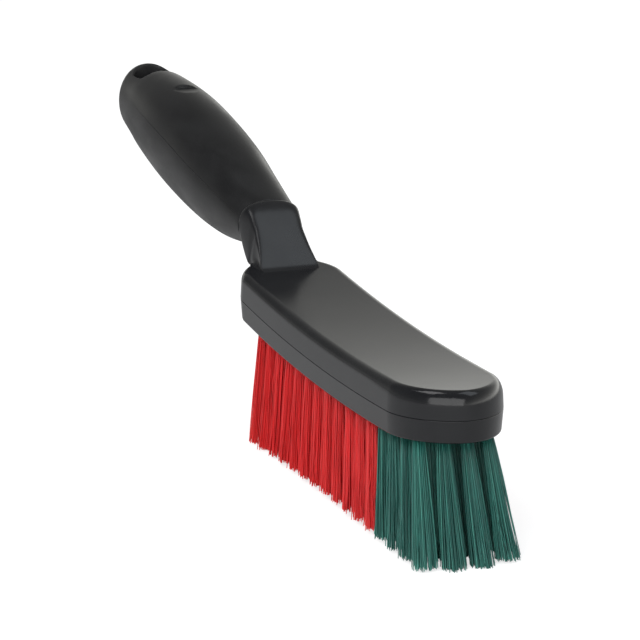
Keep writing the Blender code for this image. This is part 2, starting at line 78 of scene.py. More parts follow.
class Value:
    """A number that a shader works out, on which Python's arithmetic adds Math nodes."""

    def __init__(self, graph: "Graph", socket: bpy.types.NodeSocket) -> None:
        """Wraps an output socket of one of a graph's nodes."""
        self.graph = graph
        self.socket = socket

    def _math(self, operation: str, *operands: "Value | float") -> "Value":
        """Result of a Math node on operands in the node's order."""
        node = self.graph.node("ShaderNodeMath", {"operation": operation}, dict(enumerate(operands)))
        return Value(self.graph, node.outputs[0])

    def __add__(self, other: "Value | float") -> "Value":
        """Sum."""
        return self._math("ADD", self, other)

    def __radd__(self, other: float) -> "Value":
        """Sum with a number on the left."""
        return self._math("ADD", other, self)

    def __sub__(self, other: "Value | float") -> "Value":
        """Difference."""
        return self._math("SUBTRACT", self, other)

    def __rsub__(self, other: float) -> "Value":
        """Difference from a number."""
        return self._math("SUBTRACT", other, self)

    def __mul__(self, other: "Value | float") -> "Value":
        """Product."""
        return self._math("MULTIPLY", self, other)

    def __rmul__(self, other: float) -> "Value":
        """Product with a number on the left."""
        return self._math("MULTIPLY", other, self)

    def at_least(self, other: "Value | float") -> "Value":
        """The larger of this and another."""
        return self._math("MAXIMUM", self, other)

    def between(self, low: float, high: float) -> "Value":
        """Rises smoothly from 0 where this is low to 1 where it is high.

        Args:
            low: The value that gives 0.
            high: The value that gives 1.

        Returns:
            The smooth step.
        """
        settings = {"interpolation_type": "SMOOTHSTEP"}
        node = self.graph.node("ShaderNodeMapRange", settings, {0: self, 1: low, 2: high})
        return Value(self.graph, node.outputs[0])


class Graph:
    """The node tree of a material or of the world, built through one method."""

    def __init__(self, owner: bpy.types.Material | bpy.types.World) -> None:
        """Starts an empty tree.

        Args:
            owner: The material or world whose nodes are made.
        """
        owner.use_nodes = True
        self.tree = owner.node_tree
        self.tree.nodes.clear()

    def node(self, kind: str, settings: dict | None = None, sockets: dict | None = None) -> bpy.types.Node:
        """Adds a node.

        Args:
            kind: The node's type.
            settings: The node's own settings, which are set first. The key stops gives a ramp's stops.
            sockets: Input sockets by name or number, each with a number, a colour, a socket or a Value.

        Returns:
            The new node.
        """
        node = self.tree.nodes.new(kind)
        for key, setting in (settings or {}).items():
            if key == "stops":
                self._set_stops(node, setting)
            else:
                setattr(node, key, setting)
        for key, given in (sockets or {}).items():
            if isinstance(given, Value):
                self.tree.links.new(given.socket, node.inputs[key])
            elif isinstance(given, bpy.types.NodeSocket):
                self.tree.links.new(given, node.inputs[key])
            else:
                node.inputs[key].default_value = given
        return node

    @staticmethod
    def _set_stops(node: bpy.types.Node, stops: Sequence[tuple[float, Sequence[float]]]) -> None:
        """Sets a ramp's stops.

        Args:
            node: A Color Ramp node, which starts with two stops.
            stops: Each stop's place and colour.
        """
        elements = node.color_ramp.elements
        while len(elements) < len(stops):
            elements.new(0.5)
        for element, (place, colour) in zip(elements, stops):
            element.position = place
            element.color = (*colour, 1.0)

    def close(self, output: str, shader: str, sockets: dict) -> None:
        """Adds the shader that ends the tree, and the output node that it feeds."""
        surface = self.node(shader, None, sockets).outputs[0]
        self.node(output, None, {"Surface": surface})

    def value(self, node: bpy.types.Node, output: int | str = 0) -> Value:
        """A node's output as a Value."""
        return Value(self, node.outputs[output])

    def split(self, coordinates: str) -> bpy.types.Node:
        """Node that splits one of Texture Coordinate's outputs into X, Y and Z."""
        place = self.node("ShaderNodeTexCoord").outputs[coordinates]
        return self.node("ShaderNodeSeparateXYZ", None, {0: place})

    def noise(self, size: float, detail: float = 2.0, stretch: Point = (1.0, 1.0, 1.0)) -> Value:
        """Noise in the piece's own coordinates.

        Args:
            size: The width of its patches.
            detail: Octaves of finer noise.
            stretch: How many times as fast it changes along X, Y and Z.

        Returns:
            The noise, from about 0.3 to 0.7.
        """
        place = self.node("ShaderNodeTexCoord").outputs["Object"]
        scaled = self.node("ShaderNodeMapping", None, {"Vector": place, "Scale": stretch})
        sockets = {"Vector": scaled.outputs[0], "Scale": 1.0 / size, "Detail": detail}
        return self.value(self.node("ShaderNodeTexNoise", None, sockets), "Fac")

    def mix(self, share: Value, first: Sequence[float], second: Sequence[float]) -> bpy.types.NodeSocket:
        """A colour between two linear ones, with a share of the second."""
        sockets = {"Factor": share, 6: (*first, 1.0), 7: (*second, 1.0)}
        return self.node("ShaderNodeMix", {"data_type": "RGBA"}, sockets).outputs[2]

    def bump(
        self, height: Value, depth: float, below: bpy.types.NodeSocket | None = None
    ) -> bpy.types.NodeSocket:
        """A normal roughened by a height.

        Args:
            height: The height, from 0 to 1.
            depth: The real depth that 1 stands for.
            below: A normal to build on.

        Returns:
            The normal's socket.
        """
        sockets: dict = {"Height": height, "Distance": depth, "Strength": 1.0}
        if below is not None:
            sockets["Normal"] = below
        return self.node("ShaderNodeBump", None, sockets).outputs[0]


# Finishes


class Finish(ABC):
    """A finish, which says what feeds its shader, and the word that ends its materials' names."""

    word: ClassVar[str]

    @abstractmethod
    def sockets(self, graph: Graph) -> dict:
        """What feeds each socket of the shader, made in a material's graph."""

    def material(self, owner: str) -> bpy.types.Material:
        """Makes the finish's material for one piece.

        Args:
            owner: The piece's name.

        Returns:
            The material.
        """
        material = bpy.data.materials.new(f"{owner}_{self.word}")
        graph = Graph(material)
        graph.close("ShaderNodeOutputMaterial", "ShaderNodeBsdfPrincipled", self.sockets(graph))
        return material


@dataclass(frozen=True)
class MouldedPlastic(Finish):
    """Black satin plastic from a lightly textured mould, handled more in some places."""

    word: ClassVar[str] = "plastic"
    dark: Point = (0.0092, 0.0096, 0.0112)
    light: Point = (0.0138, 0.0143, 0.016)
    patch: float = 9 * MM
    patch_share: float = 0.6
    handled_patch: float = 32 * MM
    handled_share: float = 0.4
    roughness: float = 0.17
    roughness_swing: float = 0.08
    handled_dulling: float = 0.7
    grain_dulling: float = 0.6
    mean_dulling: float = 0.6
    grain: float = 0.55 * MM
    grain_depth: float = 0.007 * MM
    ripple: float = 26 * MM
    ripple_depth: float = 0.04 * MM
    ior: float = 1.5

    def sockets(self, graph: Graph) -> dict:
        """Makes the patches, the grain and the shallow ripple of a moulding.

        Args:
            graph: The material's graph.

        Returns:
            What feeds each socket of the shader.
        """
        patches = graph.noise(self.patch, detail=3.0).between(0.3, 0.7)
        handled = graph.noise(self.handled_patch).between(0.35, 0.68)
        grain = graph.noise(self.grain, detail=1.5)
        ripple = graph.bump(graph.noise(self.ripple, detail=0.0), self.ripple_depth)
        shade = patches * self.patch_share + handled * self.handled_share
        dulling = handled * self.handled_dulling + grain * self.grain_dulling - self.mean_dulling
        return {
            "Base Color": graph.mix(shade, self.dark, self.light),
            "Roughness": self.roughness + dulling * self.roughness_swing,
            "Normal": graph.bump(grain, self.grain_depth, ripple),
            "IOR": self.ior,
        }


@dataclass(frozen=True)
class SoftRubber(Finish):
    """Black rubber of the grip, a little duller than the plastic, with faint smears from handling."""

    word: ClassVar[str] = "rubber"
    dark: Point = (0.0117, 0.0119, 0.0127)
    light: Point = (0.0173, 0.0176, 0.0186)
    smear: float = 11 * MM
    smear_stretch: Point = (0.4, 1.0, 1.0)
    roughness: float = 0.36
    roughness_swing: float = 0.12
    grain_dulling: float = 0.5
    mean_dulling: float = 0.7
    grain: float = 0.7 * MM
    grain_depth: float = 0.014 * MM
    ior: float = 1.4

    def sockets(self, graph: Graph) -> dict:
        """Makes the smears and the grain.

        Args:
            graph: The material's graph.

        Returns:
            What feeds each socket of the shader.
        """
        smears = graph.noise(self.smear, detail=3.0, stretch=self.smear_stretch).between(0.32, 0.7)
        grain = graph.noise(self.grain)
        dulling = smears + grain * self.grain_dulling - self.mean_dulling
        return {
            "Base Color": graph.mix(smears, self.dark, self.light),
            "Roughness": self.roughness + dulling * self.roughness_swing,
            "Normal": graph.bump(grain, self.grain_depth),
            "IOR": self.ior,
        }


@dataclass(frozen=True)
class Filament(Finish):
    """Drawn plastic filament, whose shade differs from one to the next."""

    deep: Point
    middle: Point
    bright: Point
    variety: float
    word: ClassVar[str] = "filament"
    shade_share: float = 0.8
    streak: float = 1.4 * MM
    streak_stretch: Point = (1.0, 1.0, 0.08)
    streak_share: float = 0.3
    darkening: float = 0.06
    cut_end: float = 0.9
    cut_end_share: float = 0.12
    roughness: float = 0.36
    roughness_swing: float = 0.3
    ior: float = 1.5

    def sockets(self, graph: Graph) -> dict:
        """Makes the shades from each filament's own shade and the place along it, which the UV map holds.

        Args:
            graph: The material's graph.

        Returns:
            What feeds each socket of the shader.
        """
        split = graph.split("UV")
        shade = graph.value(split, "X")
        along = graph.value(split, "Y")
        streaks = graph.noise(self.streak, stretch=self.streak_stretch)
        level = shade * self.shade_share + streaks * self.streak_share - self.darkening
        level = level + along.between(self.cut_end, 1.0) * self.cut_end_share
        stops = ((0.0, self.deep), (0.5, self.middle), (1.0, self.bright))
        ramp = graph.node("ShaderNodeValToRGB", {"stops": stops}, {"Fac": level})
        return {
            "Base Color": ramp.outputs["Color"],
            "Roughness": self.roughness + (streaks - 0.5) * self.roughness_swing,
            "IOR": self.ior,
        }


class BristleColour(Enum):
    """The two colours of bristle, each with its finish."""

    RED = Filament(
        deep=(0.59, 0.0115, 0.0145),
        middle=(0.76, 0.019, 0.0215),
        bright=(0.84, 0.052, 0.048),
        variety=0.1,
    )
    GREEN = Filament(
        deep=(0.008, 0.063, 0.0535),
        middle=(0.0175, 0.135, 0.112),
        bright=(0.075, 0.335, 0.266),
        variety=0.2,
    )


@dataclass(frozen=True)
class FloorPaint(Finish):
    """Pale matt paint of the floor, lifted to white for the camera alone."""

    word: ClassVar[str] = "paint"
    colour: Point = (0.52, 0.52, 0.52)
    lift: float = 0.68
    roughness: float = 0.9
    specular: float = 0.1

    def sockets(self, graph: Graph) -> dict:
        """Makes the paint's lift.

        Args:
            graph: The material's graph.

        Returns:
            What feeds each socket of the shader.
        """
        return {
            "Base Color": (*self.colour, 1.0),
            "Roughness": self.roughness,
            "Specular IOR Level": self.specular,
            "Emission Color": graph.node("ShaderNodeLightPath").outputs["Is Camera Ray"],
            "Emission Strength": self.lift,
        }


# Modelling helpers


def make_active(piece: bpy.types.Object) -> None:
    """Selects one piece alone and makes it the active one.

    Args:
        piece: The piece.
    """
    bpy.ops.object.select_all(action="DESELECT")
    piece.select_set(True)
    bpy.context.view_layer.objects.active = piece


def add_primitive(operator: Callable, name: str, **settings: object) -> bpy.types.Object:
    """Adds the primitive that a piece starts from, with its place in its mesh.

    Args:
        operator: The operator that adds it.
        name: The piece's name.
        settings: The operator's settings.

    Returns:
        The primitive.
    """
    bpy.ops.object.select_all(action="DESELECT")
    operator(**settings)
    bpy.ops.object.transform_apply(location=True, rotation=True, scale=True)
    piece = bpy.context.object
    piece.name = name
    return piece


def copy_of(piece: bpy.types.Object, name: str) -> bpy.types.Object:
    """Copies a piece.

    Args:
        piece: The piece.
        name: The copy's name.

    Returns:
        The copy, which has a mesh of its own.
    """
    copy = piece.copy()
    copy.data = piece.data.copy()
    copy.name = name
    bpy.context.scene.collection.objects.link(copy)
    return copy


@contextmanager
def editing(piece: bpy.types.Object) -> Iterator[None]:
    """Edit mode on a piece.

    Args:
        piece: The piece to edit.

    Yields:
        Control, while the piece is in edit mode.
    """
    make_active(piece)
    bpy.ops.object.mode_set(mode="EDIT")
    bpy.ops.mesh.select_mode(type="VERT")
    yield
    bpy.ops.object.mode_set(mode="OBJECT")


def select_where(piece: bpy.types.Object, kind: str, wanted: Callable[[MeshElement], bool]) -> None:
    """Selects edges or faces of a piece in edit mode.

    Args:
        piece: A piece in edit mode.
        kind: Blender's name of the select mode, EDGE or FACE.
        wanted: Says of an edge or a face whether it is taken.
    """
    bpy.ops.mesh.select_mode(type=kind)
    bpy.ops.mesh.select_all(action="DESELECT")
    mesh = bmesh.from_edit_mesh(piece.data)
    for element in mesh.edges if kind == "EDGE" else mesh.faces:
        element.select_set(wanted(element))
    bmesh.update_edit_mesh(piece.data)


def point_outwards() -> None:
    """Turns all faces of the piece in edit mode outwards."""
    bpy.ops.mesh.select_all(action="SELECT")
    bpy.ops.mesh.normals_make_consistent(inside=False)


def shape_points(piece: bpy.types.Object, rule: Rule) -> None:
    """Moves every point of a piece.

    Args:
        piece: The piece.
        rule: Gives a point's new place.
    """
    for vertex in piece.data.vertices:
        vertex.co = rule(vertex.co)
    piece.data.update()


def apply_modifier(piece: bpy.types.Object, kind: str, **settings: object) -> None:
    """Adds a modifier to a piece and applies it.

    Args:
        piece: The piece to change.
        kind: The modifier's type.
        settings: The modifier's settings.
    """
    make_active(piece)
    modifier = piece.modifiers.new(kind.lower(), kind)
    for key, setting in settings.items():
        setattr(modifier, key, setting)
    bpy.ops.object.modifier_apply(modifier=modifier.name)


def cut(piece: bpy.types.Object, cutter: bpy.types.Object) -> None:
    """Cuts one piece with another and deletes the cutter."""
    apply_modifier(piece, "BOOLEAN", operation="DIFFERENCE", solver="EXACT", object=cutter)
    bpy.data.objects.remove(cutter, do_unlink=True)


def dress(piece: bpy.types.Object, finish: Finish, sharp_angle: float = 180.0) -> None:
    """Shades a piece smoothly and gives it its finish.

    Args:
        piece: The piece.
        finish: Its finish.
        sharp_angle: The angle in degrees from which an edge stays sharp.
    """
    make_active(piece)
    bpy.ops.object.shade_smooth_by_angle(angle=math.radians(sharp_angle))
    piece.data.materials.append(finish.material(piece.name))


def select_last_ring(piece: bpy.types.Object, count: int) -> None:
    """Selects the ring of edges through the points that were added last to a piece in edit mode.

    Args:
        piece: A piece in edit mode.
        count: How many points the ring has.
    """
    bpy.ops.mesh.select_mode(type="EDGE")
    bpy.ops.mesh.select_all(action="DESELECT")
    mesh = bmesh.from_edit_mesh(piece.data)
    mesh.verts.ensure_lookup_table()
    ring = mesh.verts[-count:]
    for pair in zip(ring, ring[1:] + ring[:1]):
        mesh.edges.get(pair).select_set(True)


def place_last_ring(piece: bpy.types.Object, places: Sequence[Vector]) -> None:
    """Moves the points that were added last to a piece in edit mode.

    Args:
        piece: A piece in edit mode.
        places: Their new places.
    """
    mesh = bmesh.from_edit_mesh(piece.data)
    mesh.verts.ensure_lookup_table()
    for vertex, place in zip(mesh.verts[-len(places):], places):
        vertex.co = place


def skin(name: str, rings: Sequence[Sequence[Vector]]) -> bpy.types.Object:
    """Extrudes a ring of edges from section to section, and closes both ends.

    Args:
        name: The piece's name.
        rings: Sections with as many points each.

    Returns:
        The piece, with its faces pointing outwards.
    """
    count = len(rings[0])
    circle = bpy.ops.mesh.primitive_circle_add
    piece = add_primitive(circle, name, vertices=count, radius=MM, fill_type="NOTHING")
    with editing(piece):
        place_last_ring(piece, rings[0])
        bpy.ops.mesh.select_all(action="SELECT")
        bpy.ops.mesh.edge_face_add()
        for ring in rings[1:]:
            select_last_ring(piece, count)
            bpy.ops.mesh.extrude_edges_move()
            place_last_ring(piece, ring)
        bmesh.update_edit_mesh(piece.data)
        bpy.ops.mesh.edge_face_add()
        point_outwards()
    return piece


def labelled_piece(
    name: str, points: Sequence[np.ndarray], faces: Sequence[Face], labels: Sequence[np.ndarray]
) -> bpy.types.Object:
    """Joins filaments in one piece, whose UV map holds two numbers for each point.

    Args:
        name: The piece's name.
        points: The points of each filament.
        faces: The faces, as numbers of the piece's points.
        labels: The two numbers of each filament's points: its shade, and the place along it.

    Returns:
        The piece, with its faces pointing outwards.
    """
    mesh = bpy.data.meshes.new(name)
    mesh.from_pydata(np.concatenate(points).tolist(), [], faces)
    corners = np.zeros(len(mesh.loops), np.int32)
    mesh.loops.foreach_get("vertex_index", corners)
    layer = mesh.uv_layers.new(name="filament")
    layer.data.foreach_set("uv", np.concatenate(labels)[corners].astype(np.float32).ravel())
    piece = bpy.data.objects.new(name, mesh)
    bpy.context.scene.collection.objects.link(piece)
    with editing(piece):
        point_outwards()
    return piece


def smooth_value(stations: Sequence[float], values: Sequence[float], place: float) -> float:
    """Reads a table on a curve that passes smoothly through its points.

    Args:
        stations: The places of the table's points, rising.
        values: The value at each.
        place: Where to read.

    Returns:
        The value there.
    """
    last = len(stations) - 1
    i = 0
    while i < last - 1 and place > stations[i + 1]:
        i += 1
    before, after = max(i - 1, 0), min(i + 2, last)
    span = stations[i + 1] - stations[i]
    t = min(max((place - stations[i]) / span, 0.0), 1.0)
    slope_in = (values[i + 1] - values[before]) / (stations[i + 1] - stations[before]) * span
    slope_out = (values[after] - values[i]) / (stations[after] - stations[i]) * span
    start = (2 * t**3 - 3 * t**2 + 1) * values[i] + (t**3 - 2 * t**2 + t) * slope_in
    return start + (3 * t**2 - 2 * t**3) * values[i + 1] + (t**3 - t**2) * slope_out


def smooth_step(value: float) -> float:
    """Smooth change from 0 to 1 as the value passes from 0 to 1."""
    t = min(max(value, 0.0), 1.0)
    return t * t * (3 - 2 * t)


def signed_power(value: float, power: float) -> float:
    """A value raised to a power, with its sign kept."""
    return math.copysign(abs(value) ** power, value)


def oval(
    x: float, half_width: float, half_height: float, centre: float, power: float, count: int
) -> list[Vector]:
    """A superelliptic section across the brush.

    Args:
        x: Its place along the brush.
        half_width: Half its width.
        half_height: Half its height.
        centre: Its middle height.
        power: 2 for an ellipse, more for a squarer section.
        count: How many points it has.

    Returns:
        Its points, from the top round by the left side.
    """
    ring = []
    for i in range(count):
        turn = FULL_TURN * i / count
        across = signed_power(math.sin(turn), 2 / power)
        up = signed_power(math.cos(turn), 2 / power)
        ring.append(Vector((x, -half_width * across, centre + half_height * up)))
    return ring


# Forms of the brush


@dataclass(frozen=True)
class BlockForm:
    """Plan and bend of the block, which both of its halves follow."""

    length: float = 177.3 * MM
    width: float = 38 * MM
    end_taper: float = 0.5 * MM
    toe_round: float = 23.5 * MM
    rear_round: float = 18.3 * MM
    round_power: float = 1.83
    low_point: float = 112.05 * MM
    bend_radius: float = 988 * MM
    seam_low: float = 45 * MM
    carrier_thickness: float = 7.4 * MM
    cover_thickness: float = 9.1 * MM
    rear_drop: float = 1.2 * MM
    rear_drop_length: float = 9 * MM
    seam_gap: float = 0.08 * MM

    def seam(self, x: float) -> float:
        """Height of the seam at x."""
        return self.seam_low + (x - self.low_point) ** 2 / (2 * self.bend_radius)

    def cover_top(self, x: float) -> float:
        """Height of the block's top at x."""
        return self.seam(x) + self.cover_thickness - self.rear_drop * self.near_rear(x)

    def near_rear(self, x: float) -> float:
        """Share of the drop at the rear end of the cover, at x."""
        return max(1 - x / self.rear_drop_length, 0.0) ** 2

    def underside(self, x: float) -> float:
        """Height of the block's lower face at x."""
        return self.seam(x) - self.carrier_thickness

    def onto_plan(self, point: Vector) -> Vector:
        """Moves a point of the unit circle onto the block's outline.

        Args:
            point: A point of a circle of radius 1.

        Returns:
            The outline's point, at the same height.
        """
        along = abs(point.x) ** (2 / self.round_power)
        across = signed_power(point.y, 2 / self.round_power)
        towards_toe = point.x >= -SAME_PLACE
        if towards_toe:
            x = self.length - self.toe_round + self.toe_round * along
        else:
            x = self.rear_round - self.rear_round * along
        return Vector((x, self.width / 2 * across, point.z))

    def drawn_in(self, point: Vector, inset: float) -> Vector:
        """Draws a point of the outline in towards the middle.

        Args:
            point: A point of the block.
            inset: How far the sides and ends come in.

        Returns:
            The moved point.
        """
        middle = self.length / 2
        from_middle = (point.x - middle) / middle
        x = middle + (point.x - middle) * (1 - inset / middle)
        taper = self.end_taper * from_middle**2
        y = point.y * (1 - (inset + taper) / (self.width / 2))
        return Vector((x, y, point.z))


@dataclass(frozen=True)
class GripForm:
    """Oval sections of the grip from its front end to its tip."""

    front: float = -7 * MM
    length: float = 149 * MM
    width: float = 31.8 * MM
    height: float = 37.9 * MM
    front_centre: float = 70.7 * MM
    rise: float = 20.1 * MM
    power: float = 2.05
    tip_round: float = 10.4 * MM
    tip_power: float = 2.4
    stations: Table = (0, 0.075, 0.18, 0.28, 0.38, 0.48, 0.58, 0.68, 0.79, 0.85, 0.93, 1)
    widths: Table = (0.723, 0.79, 0.874, 0.956, 0.994, 1, 1, 0.962, 0.892, 0.838, 0.755, 0.66)
    heights: Table = (0.438, 0.588, 0.776, 0.892, 0.96, 1, 1, 0.965, 0.892, 0.825, 0.755, 0.745)
    centres: Table = (0, 0.052, 0.154, 0.279, 0.403, 0.525, 0.644, 0.75, 0.856, 0.918, 0.985, 1.02)

    @property
    def tip(self) -> float:
        """Place of the grip's tip."""
        return self.front - self.length

    def section(self, x: float) -> Point:
        """Section of the grip.

        Args:
            x: Its place along the brush.

        Returns:
            Its half width, half height and middle height.
        """
        share = (self.front - x) / self.length
        into_tip = max((self.tip_round - (x - self.tip)) / self.tip_round, 0.0)
        closing = math.sqrt(max(1 - into_tip**self.tip_power, 0.0))
        half_width = self.width / 2 * smooth_value(self.stations, self.widths, share) * closing
        half_height = self.height / 2 * smooth_value(self.stations, self.heights, share) * closing
        centre = self.front_centre + self.rise * smooth_value(self.stations, self.centres, share)
        return half_width, half_height, centre

    def ring(self, x: float, count: int) -> list[Vector]:
        """Outline of the section at x."""
        return oval(x, *self.section(x), self.power, count)


# Sub-assemblies


@dataclass
class Piece:
    """A finished piece with what it stands for."""

    shape: bpy.types.Object
    slot: str
    nodes: tuple[str, ...] = ()


@dataclass
class Block:
    """The block: a cover with rounded edges above the seam, and a carrier with the tufts' holes below."""

    form: BlockForm
    tuft_places: Sequence[Pair]
    edge_round: float = 3 * MM
    edge_margin: float = 1.01
    edge_stretch: float = 0.65
    edge_stretch_start: float = 135 * MM
    edge_stretch_run: float = 30 * MM
    lower_edge_round: float = 0.7 * MM
    cover_seam_edge: float = 0.08 * MM
    carrier_seam_edge: float = 0.3 * MM
    cover_draft: float = 0.3 * MM
    cover_draft_haste: float = 1.3
    carrier_draft: float = 0.5 * MM
    outline_points: int = 144
    round_edge_segments: int = 7
    small_edge_segments: int = 3
    face_inset: float = 0.35 * MM
    cross_cut_pitch: float = 3.5 * MM
    cross_cut_shift: float = 0.37
    hole_radius: float = 2.75 * MM
    hole_depth: float = 3 * MM
    hole_points: int = 20
    sharp_angle: float = 35.0
    finish: Finish = MouldedPlastic()

    @property
    def cover_height(self) -> float:
        """Height of the cover above its half of the seam's gap."""
        return self.form.cover_thickness - self.form.seam_gap / 2

    @property
    def carrier_height(self) -> float:
        """Height of the carrier up to its half of the seam's gap."""
        return self.form.carrier_thickness - self.form.seam_gap / 2

    def slab(self, name: str, height: float, top_round: float, low_round: float) -> bpy.types.Object:
        """Extrudes the block's outline and rounds its upper and lower edges.

        Args:
            name: The piece's name.
            height: Its height.
            top_round: Radius of its upper edge.
            low_round: Radius of its lower edge.

        Returns:
            The straight slab, standing on the plane z = 0.
        """
        circle = bpy.ops.mesh.primitive_circle_add
        piece = add_primitive(circle, name, vertices=self.outline_points, radius=1.0, fill_type="NGON")
        shape_points(piece, self.form.onto_plan)
        with editing(piece):
            bpy.ops.mesh.select_all(action="SELECT")
            bpy.ops.mesh.extrude_region_move(TRANSFORM_OT_translate={"value": (0, 0, height)})
            point_outwards()
            self.round_edge(piece, height, top_round)
            self.round_edge(piece, 0.0, low_round)
            select_where(piece, "FACE", lambda face: len(face.verts) > self.outline_points / 2)
            bpy.ops.mesh.inset(thickness=self.face_inset, use_boundary=True)
            self.cross_cut()
        return piece

    def round_edge(self, piece: bpy.types.Object, level: float, radius: float) -> None:
        """Rounds the edge that runs round a slab at one level.

        Args:
            piece: The slab, in edit mode.
            level: The edge's height.
            radius: Its radius.
        """
        select_where(piece, "EDGE", lambda edge: all(abs(v.co.z - level) < SAME_LEVEL for v in edge.verts))
        segments = self.round_edge_segments if radius > MM else self.small_edge_segments
        bpy.ops.mesh.bevel(offset=radius, segments=segments, profile=0.5, affect="EDGES")

    def cross_cut(self) -> None:
        """Cuts across the slab in edit mode, so that its long faces can follow the bend."""
        count = int(self.form.length / self.cross_cut_pitch)
        bpy.ops.mesh.select_mode(type="VERT")
        for i in range(1, count):
            bpy.ops.mesh.select_all(action="SELECT")
            place = (self.form.length * (i + self.cross_cut_shift) / count, 0, 0)
            bpy.ops.mesh.bisect(plane_co=place, plane_no=(1, 0, 0))

    def on_cover(self, point: Vector) -> Vector:
        """Bends a point of the straight cover along the seam, and deepens its rounded edge at the toe.

        Args:
            point: The straight slab's point.

        Returns:
            The cover's point.
        """
        form, height = self.form, self.cover_height
        toe = smooth_step((point.x - self.edge_stretch_start) / self.edge_stretch_run)
        depth = height - point.z
        in_edge = depth < self.edge_round * self.edge_margin
        level = point.z - depth * toe * (self.edge_stretch if in_edge else 0.0)
        up = level / height
        placed = form.drawn_in(point, self.cover_draft * min(up * self.cover_draft_haste, 1.0))
        drop = form.rear_drop * form.near_rear(placed.x) * up
        placed.z = form.seam(placed.x) + form.seam_gap / 2 + level - drop
        return placed

    def on_carrier(self, point: Vector) -> Vector:
        """Bends a point of the straight carrier along the seam.

        Args:
            point: The straight slab's point.

        Returns:
            The carrier's point.
        """
        placed = self.form.drawn_in(point, self.carrier_draft * (1 - point.z / self.carrier_height))
        placed.z = self.form.underside(placed.x) + point.z
        return placed

    def hole_cutter(self) -> bpy.types.Object:
        """Copies one short cylinder to each tuft's place.

        Returns:
            One cutter of all the tufts' blind holes.
        """
        cylinder = bpy.ops.mesh.primitive_cylinder_add
        size = {"vertices": self.hole_points, "radius": self.hole_radius, "depth": 2 * self.hole_depth}
        first = add_primitive(cylinder, "tuft_hole", **size)
        cutters = []
        for x, y in self.tuft_places:
            cutters.append(copy_of(first, "tuft_hole"))
            cutters[-1].location = (x, y, self.form.underside(x))
        bpy.data.objects.remove(first, do_unlink=True)
        make_active(cutters[0])
        for cutter in cutters:
            cutter.select_set(True)
        bpy.ops.object.join()
        return bpy.context.object

    def finished(self, piece: bpy.types.Object, node: str) -> Piece:
        """Dresses a half of the block.

        Args:
            piece: The half.
            node: The node that it stands for.

        Returns:
            The finished half.
        """
        dress(piece, self.finish, self.sharp_angle)
        apply_modifier(piece, "WEIGHTED_NORMAL", keep_sharp=True)
        return Piece(piece, "black_plastic", (node,))

    def make_cover(self) -> Piece:
        """Makes the upper half of the block.

        Returns:
            The cover.
        """
        piece = self.slab("block_cover", self.cover_height, self.edge_round, self.cover_seam_edge)
        shape_points(piece, self.on_cover)
        return self.finished(piece, "brush_body")

    def make_carrier(self) -> Piece:
        """Makes the lower half of the block, with a hole for each tuft.

        Returns:
            The carrier.
        """
        rounds = self.carrier_seam_edge, self.lower_edge_round
        piece = self.slab("block_carrier", self.carrier_height, *rounds)
        shape_points(piece, self.on_carrier)
        cut(piece, self.hole_cutter())
        return self.finished(piece, "tuft_carrier")


